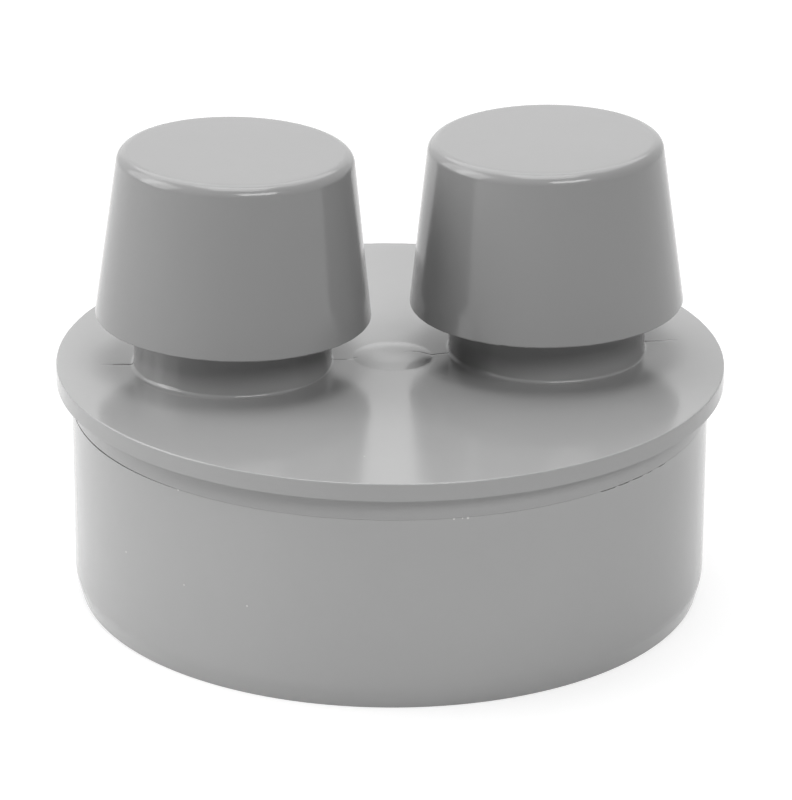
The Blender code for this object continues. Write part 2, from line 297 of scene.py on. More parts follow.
def makeKnitLine():
    # Where two flows of plastic met: a thin line roughly along X, a little wavy, fading at both ends.
    # It shows only within its reach of its level, so it doesn't climb the necks or cross the underside.
    lengths = [(label, floatSocket) for label in lineLengths]
    group, bench, given, out = newGroup(
        "knitLine",
        [("Position", vectorSocket), ("Slope", floatSocket), *lengths],
        [("Mask", floatSocket)],
    )
    calculate = bench.calculate
    parts = bench.add("ShaderNodeSeparateXYZ", {0: given["Position"]}).outputs
    alongOnly = bench.add("ShaderNodeCombineXYZ", {0: parts[0]}).outputs[0]
    fromStart = calculate("SUBTRACT", parts[0], given["Start"])
    straight = calculate("MULTIPLY_ADD", fromStart, given["Slope"], given["Middle"])
    wander = calculate("SUBTRACT", bench.noise(alongOnly, patterns["lineWaves"], 1.0), 0.5)
    middle = calculate("MULTIPLY_ADD", wander, given["Wave"], straight)
    across = calculate("ABSOLUTE", calculate("SUBTRACT", parts[1], middle))
    closeness = calculate("SUBTRACT", 1.0, calculate("DIVIDE", across, given["Width"]))
    fadeIn = calculate("DIVIDE", fromStart, given["Fade In"])
    fadeOut = calculate("DIVIDE", calculate("SUBTRACT", given["End"], parts[0]), given["Fade Out"])
    core = bench.add("ShaderNodeClamp", {0: closeness}).outputs[0]
    within = bench.add("ShaderNodeClamp", {0: calculate("MINIMUM", fadeIn, fadeOut)}).outputs[0]
    above = calculate("ABSOLUTE", calculate("SUBTRACT", parts[2], given["Level"]))
    onTop = calculate("LESS_THAN", above, given["Reach"])
    bench.feed(out["Mask"], calculate("MULTIPLY", calculate("MULTIPLY", core, within), onTop))
    return group


def makePaintedNeckShade():
    # Painted shade: the necks are darkened above their feet, where the caps overhang them and their shade
    # falls.
    group, bench, given, out = newGroup(
        "paintedNeckShade",
        [
            ("Position", vectorSocket),
            ("Offset", floatSocket),
            ("Radius", floatSocket),
            ("Low", floatSocket),
            ("High", floatSocket),
            ("Least", floatSocket),
        ],
        [("Shade", floatSocket)],
    )
    calculate = bench.calculate
    parts = bench.add("ShaderNodeSeparateXYZ", {0: given["Position"]}).outputs
    across = calculate("SUBTRACT", calculate("ABSOLUTE", parts[0]), given["Offset"])
    flat = bench.add("ShaderNodeCombineXYZ", {0: across, 1: parts[1]}).outputs[0]
    away = bench.add("ShaderNodeVectorMath", {0: flat}, operation="LENGTH").outputs["Value"]
    within = calculate("LESS_THAN", away, given["Radius"])
    inputs = {0: parts[2], 1: given["Low"], 2: given["High"], 3: 1.0, 4: given["Least"]}
    ramp = bench.add("ShaderNodeMapRange", inputs, interpolation_type="SMOOTHSTEP").outputs[0]
    change = calculate("SUBTRACT", ramp, 1.0)
    bench.feed(out["Shade"], calculate("MULTIPLY_ADD", within, change, 1.0))
    return group


mouldedSkin = makeMouldedSkin()
paleSpecks = makePaleSpecks()
knitLine = makeKnitLine()
paintedNeckShade = makePaintedNeckShade()
print("shared finishes ready")


def mouldedMaterial(name, look, lines=(), flecks=(), shade=None):
    material = bpy.data.materials.new(name)
    material.use_nodes = True
    material.node_tree.nodes.clear()
    bench = NodeBench(material.node_tree)
    calculate = bench.calculate
    position = bench.add("ShaderNodeTexCoord").outputs["Object"]
    skin = bench.group(
        mouldedSkin,
        {
            "Position": position,
            "Tone": look["tone"],
            "Gloss Drift": look["glossDrift"],
            "Grain": look["grain"],
            "Swell": look["swell"],
        },
    )
    specks = bench.group(
        paleSpecks,
        {"Position": position, "Spacing": look["speckSpacing"], "Share": look["speckShare"]},
    )
    inputs = {0: look["color"], "Scale": skin["Shade"]}
    color = bench.add("ShaderNodeVectorMath", inputs, operation="SCALE").outputs[0]
    height = skin["Height"]
    for line in lines:
        lengths = {label: line[key] * mm for label, key in lineLengths.items()}
        mark = bench.group(knitLine, {"Position": position, "Slope": line["slope"], **lengths})["Mask"]
        color = bench.mix(calculate("MULTIPLY", mark, line["dark"]), color, line["color"])
        height = calculate("MULTIPLY_ADD", mark, -line["depth"], height)
    # Painted shade on the necks under the caps, when a shade is given.
    if shade is not None:
        heights = {"Low": shade["low"] * mm, "High": shade["high"] * mm}
        rounds = {"Offset": shade["offset"] * mm, "Radius": shade["radius"] * mm}
        inputs = {"Position": position, "Least": shade["least"], **rounds, **heights}
        depth = bench.group(paintedNeckShade, inputs)["Shade"]
        color = bench.add("ShaderNodeVectorMath", {0: color, "Scale": depth}, operation="SCALE").outputs[0]
    speckShare = calculate("MULTIPLY", specks["Mask"], look["speckLift"])
    for place, reach in flecks:
        inputs = {0: position, 1: tuple(value * mm for value in place)}
        away = bench.add("ShaderNodeVectorMath", inputs, operation="DISTANCE").outputs["Value"]
        fleck = calculate("MULTIPLY", calculate("LESS_THAN", away, reach * mm), look["speckLift"])
        speckShare = calculate("MAXIMUM", speckShare, fleck)
    color = bench.mix(speckShare, color, look["speckColor"])
    bump = bench.add("ShaderNodeBump", {"Height": height, "Strength": 1.0, "Distance": look["bump"] * mm})
    shader = bench.add(
        "ShaderNodeBsdfPrincipled",
        {
            "Base Color": color,
            "Roughness": calculate("ADD", skin["Gloss Shift"], look["roughness"]),
            "IOR": look["ior"],
            "Normal": bump.outputs[0],
        },
    )
    bench.add("ShaderNodeOutputMaterial", {"Surface": shader.outputs[0]})
    return material


greyPlastic = {
    "tone": 0.05,
    "glossDrift": 0.05,
    "grain": 0.10,
    "swell": 0.55,
    "bump": 0.10,
    "ior": 1.5,
    "roughness": 0.14,
    "speckSpacing": 190.0,  # cells to a metre, each with room for one speck
    "speckShare": 0.05,
    "speckLift": 0.7,
    "speckColor": (0.74, 0.74, 0.72, 1),
}
# One grey plastic throughout: the caps' grey is set darker and the spigot's lighter than the plate's, as
# painted shade on the caps and painted light on the spigot.
plateLook = {**greyPlastic, "color": (0.370, 0.370, 0.370)}
spigotLook = {**greyPlastic, "color": (0.410, 0.410, 0.410)}
capLook = {**greyPlastic, "color": (0.290, 0.290, 0.290)}
insertLook = {**greyPlastic, "color": (0.75, 0.75, 0.72), "roughness": 0.42, "speckShare": 0.0}
carrierLook = {**greyPlastic, "color": (0.70, 0.70, 0.68), "roughness": 0.42, "speckShare": 0.0}
screenLook = {**greyPlastic, "color": (0.20, 0.20, 0.20), "roughness": 0.50, "speckShare": 0.0}
rubberLook = {
    **greyPlastic,
    "color": (0.03, 0.03, 0.03),
    "roughness": 0.62,
    "tone": 0.25,
    "grain": 0.6,
    "speckShare": 0.02,
}
knitLook = {
    "width": 0.26,
    "wave": 0.4,
    "fadeIn": 0.8,
    "fadeOut": 0.8,
    "level": 41.8,
    "reach": 0.6,
    "dark": 0.60,
    "depth": 0.6,  # against the bump's height
    "color": (0.03, 0.03, 0.03, 1),
}
outerKnit = {**knitLook, "dark": 1.0, "depth": 0.8}
knitLines = [
    {**outerKnit, "start": -50.2, "end": -43.8, "middle": 1.7, "slope": -0.13, "width": 0.36, "fadeIn": 3.0},
    {**knitLook, "start": -10.6, "end": -7.2, "middle": -0.8, "slope": -0.12, "dark": 0.40},
    {**knitLook, "start": -7.7, "end": -5.6, "middle": -1.0, "slope": 0.15, "dark": 0.35, "width": 0.35},
    {**knitLook, "start": 2.2, "end": 5.4, "middle": 0.4, "slope": -0.06, "fadeIn": 2.0},
    {**knitLook, "start": 4.8, "end": 7.2, "middle": 0.3, "slope": -0.55},
    {**knitLook, "start": 6.6, "end": 10.8, "middle": -1.0, "slope": 0.19, "dark": 0.70},
    {**outerKnit, "start": 44.0, "end": 51.2, "middle": 0.8, "slope": 0.05, "width": 0.33, "fadeOut": 4.0},
]
# Painted shade under the caps: where the necks darken above their feet, and how far.
paintedNeckShadeSizes = {"offset": 27.4, "radius": 17.4, "low": 42.0, "high": 46.0, "least": 0.66}
spigotFlecks = (  # each fleck's place and reach
    ((-48.33, -26.25, 18.5), 0.16),
    ((-39.69, -38.08, 17.2), 0.14),
    ((-30.05, -46.07, 16.42), 0.16),
    ((-40.4, -37.32, 34.02), 0.16),
    ((2.88, -54.92, 34.0), 0.18),
    ((4.3, -54.83, 33.99), 0.12),
    ((5.2, -54.75, 33.98), 0.22),
)
plateSkin = mouldedMaterial("platePlastic", plateLook, knitLines, shade=paintedNeckShadeSizes)
spigotSkin = mouldedMaterial("spigotPlastic", spigotLook, flecks=spigotFlecks)
capSkin = mouldedMaterial("capPlastic", capLook)
insertSkin = mouldedMaterial("insertPlastic", insertLook)
carrierSkin = mouldedMaterial("carrierPlastic", carrierLook)
screenSkin = mouldedMaterial("screenPlastic", screenLook)
rubberSkin = mouldedMaterial("softRubber", rubberLook)
print("materials ready")


spigot = {
    "radius": 55.0,
    "bore": 51.8,
    "top": 34.12,
    "bottom": 0.0,
    "chamferHeight": 3.6,
    "tipRadius": 54.035,
    "seamDrop": 0.26,  # how far the edge falls short of the plate where the seam stands open
    "opening": (140, 18, 226, 26),  # degrees: where the wide part starts, its rise, where it ends, its fall
    "hairline": (150, 232, 14, 0.08),  # degrees: where it starts, where it ends, its fall; then its share
    "nicks": ((301, 304.5), (305.5, 308), (309, 312), (313, 315), (317, 319)),  # degrees round the seam
    "nickShare": 0.45,
    "seamBand": 0.5,  # how far below the top the corners still follow the seam
    "edgeWear": {"depth": 0.02, "spacing": 1.9},
    "roundings": (
        ("radius", "chamferHeight", 0.8, 3),
        ("tipRadius", "bottom", 0.25, 2),
        ("bore", "bottom", 0.4, 3),
        ("radius", "top", 0.03, 1),
    ),
    "steps": 512,
}


def seamOpening(angle):
    # Share by which the seam stands open: wide at the left, then a hairline, and short nicks at the right.
    degrees = math.degrees(angle) % 360
    start, rise, end, fall = spigot["opening"]
    wide = max(0.0, min(1.0, (degrees - start) / rise)) * max(0.0, min(1.0, (end - degrees) / fall))
    start, end, fall, share = spigot["hairline"]
    hairline = share * max(0.0, min(1.0, (end - degrees) / fall)) if degrees > start else 0.0
    nicked = any(start < degrees < end for start, end in spigot["nicks"])
    return max(wide, hairline, spigot["nickShare"] if nicked else 0.0)


def makeSpigotSleeve():
    bm = bmesh.new()
    spinOutline(
        bm,
        [
            (spigot["radius"], spigot["top"]),
            (spigot["radius"], spigot["chamferHeight"]),
            (spigot["tipRadius"], spigot["bottom"]),
            (spigot["bore"], spigot["bottom"]),
            (spigot["bore"], spigot["top"]),
        ],
        spigot["steps"],
    )
    roundRings(bm, spigot)
    topVerts = [vert for vert in bm.verts if vert.co.z > (spigot["top"] - spigot["seamBand"]) * mm]
    for vert in topVerts:
        opening = seamOpening(math.atan2(vert.co.y, vert.co.x))
        vert.co.z -= opening * spigot["seamDrop"] * mm
    middle = (spigot["radius"] + spigot["bore"]) / 2 * mm
    unevenEdge(bm, [vert for vert in topVerts if vert.co.xy.length > middle], spigot["edgeWear"])
    return finishPiece("spigotSleeve", bm, spigotSkin, "housing", "spigot_sleeve")


plate = {
    "top": 41.6,
    "underside": 38.5,
    "flangeRadius": 57.67,
    "flangeInner": 55.17,
    "edgeBand": 0.4,  # how near the flange's top edge the corners wear
    "edgeWear": {"depth": 0.05, "spacing": 1.5},
    "bandRadius": 55.0,
    "bandBottom": 34.13,
    "collarRadius": 51.5,
    "collarBore": 49.3,
    "collarBottom": 27.15,
    "undersideInner": 47.5,
    "neckRadius": 17.0,
    "neckBore": 15.0,
    "neckFoot": 0.0,
    "neckHeight": 17.0,
    "neckFillet": 0.65,
    "neckMargin": 0.7,  # how far the fine ring round a neck's foot reaches past the fillet
    "boreMargin": 1.2,
    "filletGrowth": {  # middle and half width in degrees, and the share by which the fillet grows there
        "left": ((226, 24, 1.0), (322, 44, -0.65)),
        "right": ((222, 20, 0.4), (322, 44, -0.65)),
    },
    "domeRadius": 6.9,
    "domeHeight": 0.44,
    "domePower": 3.0,  # how flat the dome is before it falls to its rim
    "domeLean": 0.25,  # share by which the dome's back stands higher and its front lower
    "domeDip": 0.14,
    "domeDipShare": 0.62,
    "domePlace": (0.33, -0.66),  # the gate's dome lies a little off the middle
    "domeMargin": 0.7,
    "domeRounding": 0.04,
    "domeRings": 16,
    "domeSteps": 96,
    "roundings": (
        ("flangeRadius", "top", 0.28, 4),
        ("flangeRadius", "underside", 0.08, 2),
        ("bandRadius", "underside", 0.12, 2),
        ("bandRadius", "bandBottom", 0.01, 1),
        ("collarRadius", "collarBottom", 0.6, 1),
        ("collarBore", "collarBottom", 0.3, 2),
    ),
    "neckRoundings": (("neckRadius", "neckHeight", 0.25, 2), ("neckBore", "neckHeight", 0.25, 2)),
    "steps": 256,
}


def fillBetween(bm, height, facing):
    loops = [
        edge
        for edge in bm.edges
        if len(edge.link_faces) == 1 and all(abs(vert.co.z - height * mm) < near for vert in edge.verts)
    ]
    bmesh.ops.triangle_fill(bm, edges=loops, use_beauty=True, normal=(0, 0, facing))


def extrudeRing(bm, edges, place):
    made = bmesh.ops.extrude_edge_only(bm, edges=edges)["geom"]
    verts = [item for item in made if isinstance(item, bmesh.types.BMVert)]
    bmesh.ops.transform(bm, matrix=place, verts=verts)
    return [item for item in made if isinstance(item, bmesh.types.BMEdge)]


def addNeck(bm, side):
    place = headPlace(side)
    base = Matrix.Translation(place.to_translation())
    lower = place @ Vector((0, 0, (plate["underside"] - plate["top"]) * mm))
    under = Matrix.Translation((lower.x, lower.y, plate["underside"] * mm))
    end = place @ Matrix.Translation((0, 0, plate["neckHeight"] * mm))
    radius, bore = plate["neckRadius"], plate["neckBore"]
    margin = radius + plate["neckFillet"] + plate["neckMargin"]
    ring = bmesh.ops.create_circle(bm, radius=margin * mm, segments=head["steps"], matrix=base)["verts"]
    edges = list({edge for vert in ring for edge in vert.link_edges})
    rings = [
        (base, margin),
        (base, radius),
        (end, radius),
        (end, bore),
        (under, bore),
        (under, bore + plate["boreMargin"]),
    ]
    for (start, startRadius), (finish, finishRadius) in zip(rings, rings[1:]):
        grow = finishRadius / startRadius
        edges = extrudeRing(bm, edges, finish @ Matrix.Diagonal((grow, grow, 1, 1)) @ start.inverted())


def growFillet(bm, side):
    # The fillet at the neck's foot isn't even: it grows and shrinks over parts of the way round.
    base = headPlace(side).to_translation()
    radius = plate["neckRadius"] * mm
    reach = plate["neckFillet"] * mm + near
    for vert in bm.verts:
        local = vert.co - base
        away = local.xy.length - radius
        if abs(local.z) < reach and -near < away < reach:
            angle = math.degrees(math.atan2(local.y, local.x))
            size = 1.0
            for middle, halfWidth, growth in plate["filletGrowth"][side]:
                share = max(0.0, 1 - abs((angle - middle + 180) % 360 - 180) / halfWidth)
                size += growth * share * share * (3 - 2 * share)
            corner = Vector((*(local.xy.normalized() * radius), 0))
            vert.co = base + corner + (local - corner) * size


def addDome(bm):
    # The low dome that the gate left, with its ring of corners ready for the fill of the plate's top.
    dome = bmesh.new()
    top, radius = plate["top"], plate["domeRadius"]
    outline = [(radius + plate["domeMargin"], top)]
    for ring in range(plate["domeRings"] + 1):
        share = 1 - ring / plate["domeRings"]
        height = plate["domeHeight"] * (1 - share ** plate["domePower"])
        dip = plate["domeDip"] * max(0.0, 1 - (share / plate["domeDipShare"]) ** 2) ** 2
        outline.append((radius * share, top + height - dip))
    spinOutline(dome, outline, plate["domeSteps"], closed=False)
    for vert in dome.verts:
        lean = 1 + plate["domeLean"] * vert.co.y / (radius * mm)
        vert.co.z = top * mm + (vert.co.z - top * mm) * lean
    place = Matrix.Translation(Vector((*plate["domePlace"], 0)) * mm)
    bmesh.ops.transform(dome, matrix=place, verts=dome.verts)
    mergeInto(bm, dome)
    return place


def makeValvePlate():
    bm = bmesh.new()
    spinOutline(
        bm,
        [
            (plate["flangeInner"], plate["top"]),
            (plate["flangeRadius"], plate["top"]),
            (plate["flangeRadius"], plate["underside"]),
            (plate["bandRadius"], plate["underside"]),
            (plate["bandRadius"], plate["bandBottom"]),
            (plate["collarRadius"], plate["bandBottom"]),
            (plate["collarRadius"], plate["collarBottom"]),
            (plate["collarBore"], plate["collarBottom"]),
            (plate["collarBore"], plate["underside"]),
            (plate["undersideInner"], plate["underside"]),
        ],
        plate["steps"],
        closed=False,
    )
    domePlace = addDome(bm)
    for side in sides:
        addNeck(bm, side)
    fillBetween(bm, plate["top"], 1)
    fillBetween(bm, plate["underside"], -1)
    cleanUp(bm)
    roundRings(bm, plate)
    roundRing(bm, plate["domeRadius"], plate["top"], plate["domeRounding"], 1, domePlace)
    for side in sides:
        place = headPlace(side)
        foot = Matrix.Translation(place.to_translation())
        roundRing(bm, plate["neckRadius"], plate["neckFoot"], plate["neckFillet"], 5, foot)
        growFillet(bm, side)
        roundRings(bm, plate, "neckRoundings", place)
    lowest = (plate["top"] - plate["edgeBand"]) * mm
    innermost = (plate["flangeRadius"] - plate["edgeBand"]) * mm
    edgeVerts = [vert for vert in bm.verts if vert.co.z > lowest and vert.co.xy.length > innermost]
    unevenEdge(bm, edgeVerts, plate["edgeWear"])
    return finishPiece("valvePlate", bm, plateSkin, "housing", "valve_plate")


cap = {
    "rimHeight": 9.05,
    "rimRadius": 23.6725,
    "taper": 0.12526,  # how much the radius falls per millimetre of height
    "topHeight": 38.35,
    "topInset": 3.0,  # how far inside its edge the flat top gets a ring of corners
    "dimple": (1.2, 0.02),  # the shallow mark in the middle of the top: its radius and depth
    "sideWall": 1.6125,
    "ceiling": 36.35,
    "edgeSetback": 1.8,
    "pinRadius": 2.0,
    "pinTip": 24.0,
    "rimBand": (0.8, 0.2),  # how far in from the rim and above it the corners wear
    "edgeWear": {"depth": 0.025, "spacing": 2.1},
    "nibHalfWidth": 1.2,  # degrees
    "pinRoundings": (("pinRadius", "ceiling", 0.5, 3), ("pinRadius", "pinTip", 0.3, 2)),
    "steps": 320,
    "nibs": {  # flash left on the lower edge: degrees round the head, and how far it hangs down
        "left": ((214, 0.05), (259, 0.04)),
        "right": ((236, 0.09), (239.5, 0.10), (242, -0.12), (252, 0.07), (278.5, 0.07)),
    },
    "stopLugs": {"count": 6, "inner": 19.16, "width": 2.0, "bottom": 24.7, "top": 28.7},
    "snapLugs": {"count": 6, "inner": 19.24, "width": 4.0, "bottom": 20.2, "top": 21.2, "turnBy": 30.0},
}


def capOutside(height):
    return cap["rimRadius"] - cap["taper"] * (height - cap["rimHeight"])


def makeCap(side):
    bm = bmesh.new()
    topRadius = capOutside(cap["topHeight"])
    dimpleRadius, dimpleDepth = cap["dimple"]
    rimInside = cap["rimRadius"] - cap["sideWall"]
    ceilingRadius = capOutside(cap["ceiling"]) - cap["sideWall"]
    spinOutline(
        bm,
        [
            (0, cap["topHeight"] - dimpleDepth),
            (dimpleRadius, cap["topHeight"]),
            (topRadius - cap["topInset"], cap["topHeight"]),
            (topRadius, cap["topHeight"]),
            (cap["rimRadius"], cap["rimHeight"]),
            (rimInside, cap["rimHeight"]),
            (ceilingRadius, cap["ceiling"]),
            (cap["pinRadius"], cap["ceiling"]),
            (cap["pinRadius"], cap["pinTip"]),
            (0, cap["pinTip"]),
        ],
        cap["steps"],
        closed=False,
    )
    roundRing(bm, topRadius, cap["topHeight"], cap["edgeSetback"], 8)
    roundRing(bm, cap["rimRadius"], cap["rimHeight"], 0.3, 3)
    roundRing(bm, rimInside, cap["rimHeight"], 0.2, 2)
    innermost = (cap["rimRadius"] - cap["rimBand"][0]) * mm
    highest = (cap["rimHeight"] + cap["rimBand"][1]) * mm
    rimVerts = [vert for vert in bm.verts if vert.co.z < highest and vert.co.xy.length > innermost]
    unevenEdge(bm, rimVerts, cap["edgeWear"])
    for vert in rimVerts:
        turned = math.degrees(math.atan2(vert.co.y, vert.co.x)) % 360
        for degrees, drop in cap["nibs"][side]:
            vert.co.z -= max(0.0, 1 - abs(turned - degrees) / cap["nibHalfWidth"]) * drop * mm
    roundRing(bm, ceilingRadius, cap["ceiling"], 0.7, 3)
    roundRings(bm, cap, "pinRoundings")
    for lugs in (cap["stopLugs"], cap["snapLugs"]):
        outer = capOutside(lugs["bottom"]) - cap["sideWall"] / 2
        addBlocks(bm, lugs, lugs["inner"], outer, lugs["bottom"], lugs["top"])
    name, node = "cap" + side.capitalize(), "cap_" + side
    return finishPiece(name, bm, capSkin, "housing", node, headPlace(side))


insert = {
    "collarRadius": 14.7,
    "collarBore": 12.3,
    "collarBottom": 10.5,
    "floorBottom": 17.3,
    "floorTop": 18.8,
    "floorRadius": 17.0,
    "grooveMiddle": 13.9,
    "grooveDepth": 1.0,
    "grooveHalf": 0.65,
    "tubeBore": 10.0,
    "tubeRadius": 11.6,
    "seat": 25.0,
    "lip": (0.4, 0.6),  # how much the lip under the rubber narrows on each side, and over which height
    "ringBore": 17.9,
    "ringRadius": 19.74,
    "ringBottom": 21.5,
    "ringTop": 24.4,
    "ringLip": 0.7,
    "ringGrooveHalf": 0.8,
    "ribs": {"count": 6, "width": 1.5, "top": 23.8},
    "ribSink": (0.8, 0.5, 0.5),  # how far the ribs run into the tube, the ring and the floor
    "roundings": (
        ("collarRadius", "collarBottom", 0.4, 2),
        ("collarBore", "collarBottom", 0.3, 2),
        ("tubeBore", "floorBottom", 0.4, 2),
        ("collarBore", "floorBottom", 0.3, 2),
    ),
    "ringRoundings": (("ringBore", "seat", 0.2, 2), ("ringBore", "ringBottom", 0.2, 2)),
    "steps": 128,
}


def makeSeatInsert(side):
    bm = bmesh.new()
    low = insert["grooveMiddle"] - insert["grooveHalf"]
    high = insert["grooveMiddle"] + insert["grooveHalf"]
    lipWidth, lipHeight = insert["lip"]
    spinOutline(
        bm,
        [
            (insert["tubeRadius"] - lipWidth, insert["seat"]),
            (insert["tubeRadius"], insert["seat"] - lipHeight),
            (insert["tubeRadius"], insert["floorTop"]),
            (insert["floorRadius"], insert["floorTop"]),
            (insert["floorRadius"], insert["floorBottom"]),
            (insert["collarRadius"], insert["floorBottom"]),
            (insert["collarRadius"], high),
            (insert["collarRadius"] - insert["grooveDepth"], high),
            (insert["collarRadius"] - insert["grooveDepth"], low),
            (insert["collarRadius"], low),
            (insert["collarRadius"], insert["collarBottom"]),
            (insert["collarBore"], insert["collarBottom"]),
            (insert["collarBore"], insert["floorBottom"]),
            (insert["tubeBore"], insert["floorBottom"]),
            (insert["tubeBore"], insert["seat"] - lipHeight),
            (insert["tubeBore"] + lipWidth, insert["seat"]),
        ],
        insert["steps"],
    )
    roundRings(bm, insert)
    ring = bmesh.new()
    middle = (insert["ringBottom"] + insert["ringTop"]) / 2
    low = middle - insert["ringGrooveHalf"]
    high = middle + insert["ringGrooveHalf"]
    spinOutline(
        ring,
        [
            (insert["ringRadius"], insert["ringTop"]),
            (insert["ringRadius"], high),
            (insert["ringRadius"] - insert["grooveDepth"], high),
            (insert["ringRadius"] - insert["grooveDepth"], low),
            (insert["ringRadius"], low),
            (insert["ringRadius"], insert["ringBottom"]),
            (insert["ringBore"], insert["ringBottom"]),
            (insert["ringBore"], insert["seat"]),
            (insert["ringBore"] + insert["ringLip"], insert["seat"]),
            (insert["ringBore"] + insert["ringLip"], insert["ringTop"]),
        ],
        insert["steps"],
    )
    roundRings(ring, insert, "ringRoundings")
    mergeInto(bm, ring)
    ribs = insert["ribs"]
    sinkTube, sinkRing, sinkFloor = insert["ribSink"]
    inner, outer = insert["tubeRadius"] - sinkTube, insert["ringBore"] + sinkRing
    addBlocks(bm, ribs, inner, outer, insert["floorTop"] - sinkFloor, ribs["top"])
    name, node = "seatInsert" + side.capitalize(), "seat_insert_" + side
    return finishPiece(name, bm, insertSkin, "housing", node, headPlace(side))


disc = {
    "rubberOuter": 18.8,
    "rubberBore": 8.6,
    "rubberBottom": 25.3,
    "rubberTop": 26.8,
    "plateRadius": 18.2,
    "plateBottom": 27.1,
    "plateTop": 28.1,
    "spoolRadius": 8.3,
    "spoolBore": 6.9,
    "lipRadius": 9.5,
    "lipTop": 25.0,
    "lipBottom": 24.2,
    "hubRadius": 3.6,
    "hubBore": 2.3,
    "hubTop": 32.0,
    "hubSteps": 64,
    "spokes": {"count": 3, "width": 1.6},
    "spokeSpan": (2.0, 0.5),  # how far below the carrier's plate top the spokes start and end
    "spokeSink": (0.6, 0.7),  # how far the spokes run into the hub and the spool
    "rubberRoundings": (
        ("rubberOuter", "rubberTop", 0.3, 3),
        ("rubberOuter", "rubberBottom", 0.3, 3),
        ("rubberBore", "rubberTop", 0.3, 3),
        ("rubberBore", "rubberBottom", 0.3, 3),
    ),
    "carrierRoundings": (
        ("plateRadius", "plateTop", 0.3, 3),
        ("lipRadius", "lipBottom", 0.25, 2),
        ("spoolBore", "lipBottom", 0.25, 2),
    ),
    "hubRoundings": (("hubRadius", "hubTop", 0.3, 2), ("hubRadius", "lipBottom", 0.3, 2)),
    "steps": 128,
}


def makeDiaphragm(side):
    bm = bmesh.new()
    spinOutline(
        bm,
        [
            (disc["rubberOuter"], disc["rubberTop"]),
            (disc["rubberOuter"], disc["rubberBottom"]),
            (disc["rubberBore"], disc["rubberBottom"]),
            (disc["rubberBore"], disc["rubberTop"]),
        ],
        disc["steps"],
    )
    roundRings(bm, disc, "rubberRoundings")
    name, body, node = "diaphragm" + side.capitalize(), "lifting_disc_" + side, "diaphragm_" + side
    return finishPiece(name, bm, rubberSkin, body, node, headPlace(side))


def makeCarrier(side):
    bm = bmesh.new()
    spinOutline(
        bm,
        [
            (disc["plateRadius"], disc["plateTop"]),
            (disc["plateRadius"], disc["plateBottom"]),
            (disc["spoolRadius"], disc["plateBottom"]),
            (disc["spoolRadius"], disc["lipTop"]),
            (disc["lipRadius"], disc["lipTop"]),
            (disc["lipRadius"], disc["lipBottom"]),
            (disc["spoolBore"], disc["lipBottom"]),
            (disc["spoolBore"], disc["plateTop"]),
        ],
        disc["steps"],
    )
    roundRings(bm, disc, "carrierRoundings")
    hub = bmesh.new()
    spinOutline(
        hub,
        [
            (disc["hubRadius"], disc["hubTop"]),
            (disc["hubRadius"], disc["lipBottom"]),
            (disc["hubBore"], disc["lipBottom"]),
            (disc["hubBore"], disc["hubTop"]),
        ],
        disc["hubSteps"],
    )
    roundRings(hub, disc, "hubRoundings")
    mergeInto(bm, hub)
    bottom, top = (disc["plateTop"] - drop for drop in disc["spokeSpan"])
    sinkHub, sinkSpool = disc["spokeSink"]
    addBlocks(bm, disc["spokes"], disc["hubRadius"] - sinkHub, disc["spoolBore"] + sinkSpool, bottom, top)
    name, body, node = "carrier" + side.capitalize(), "lifting_disc_" + side, "carrier_" + side
    return finishPiece(name, bm, carrierSkin, body, node, headPlace(side))


screen = {
    "hubInner": 17.3,
    "hubOuter": 18.3,
    "hubTop": 16.5,
    "webBottom": 13.1,
    "webTop": 14.1,
    "rimRadius": 21.13,
    "rimWidth": 0.5,
    "slots": 20,
    "slotWidth": 3.4,
    "barSink": 0.2,  # how far the bars run into both rings
    "barInset": 0.03,  # how far the bars keep below the web's top and above its underside
    "steps": 160,
}


def makeInsectScreen(side):
    bm = bmesh.new()
    spinOutline(
        bm,
        [
            (screen["hubOuter"], screen["hubTop"]),
            (screen["hubOuter"], screen["webTop"]),
            (screen["hubOuter"] + screen["rimWidth"], screen["webTop"]),
            (screen["hubOuter"] + screen["rimWidth"], screen["webBottom"]),
            (screen["hubInner"], screen["webBottom"]),
            (screen["hubInner"], screen["hubTop"]),
        ],
        screen["steps"],
    )
    rim = bmesh.new()
    spinOutline(
        rim,
        [
            (screen["rimRadius"], screen["webTop"]),
            (screen["rimRadius"], screen["webBottom"]),
            (screen["rimRadius"] - screen["rimWidth"], screen["webBottom"]),
            (screen["rimRadius"] - screen["rimWidth"], screen["webTop"]),
        ],
        screen["steps"],
    )
    mergeInto(bm, rim)
    inner = screen["hubOuter"] + screen["rimWidth"] - screen["barSink"]
    outer = screen["rimRadius"] - screen["rimWidth"] + screen["barSink"]
    bottom, top = screen["webBottom"] + screen["barInset"], screen["webTop"] - screen["barInset"]
    barWidth = math.pi * (inner + outer) / screen["slots"] - screen["slotWidth"]
    bars = {"count": screen["slots"], "width": barWidth, "turnBy": 180 / screen["slots"]}
    addBlocks(bm, bars, inner, outer, bottom, top)
    name, node = "insectScreen" + side.capitalize(), "insect_screen_" + side
    return finishPiece(name, bm, screenSkin, "housing", node, headPlace(side))


makeSpigotSleeve()
makeValvePlate()
for side in sides:
    makeCap(side)
    makeSeatInsert(side)
    makeDiaphragm(side)
    makeCarrier(side)
    makeInsectScreen(side)
    for node in ("neck_seal_" + side, "cap_seal_" + side):
        seal = frame["nodes"][node]
        for materialSlot in seal.material_slots:
            materialSlot.material = rubberSkin
print("pieces ready")


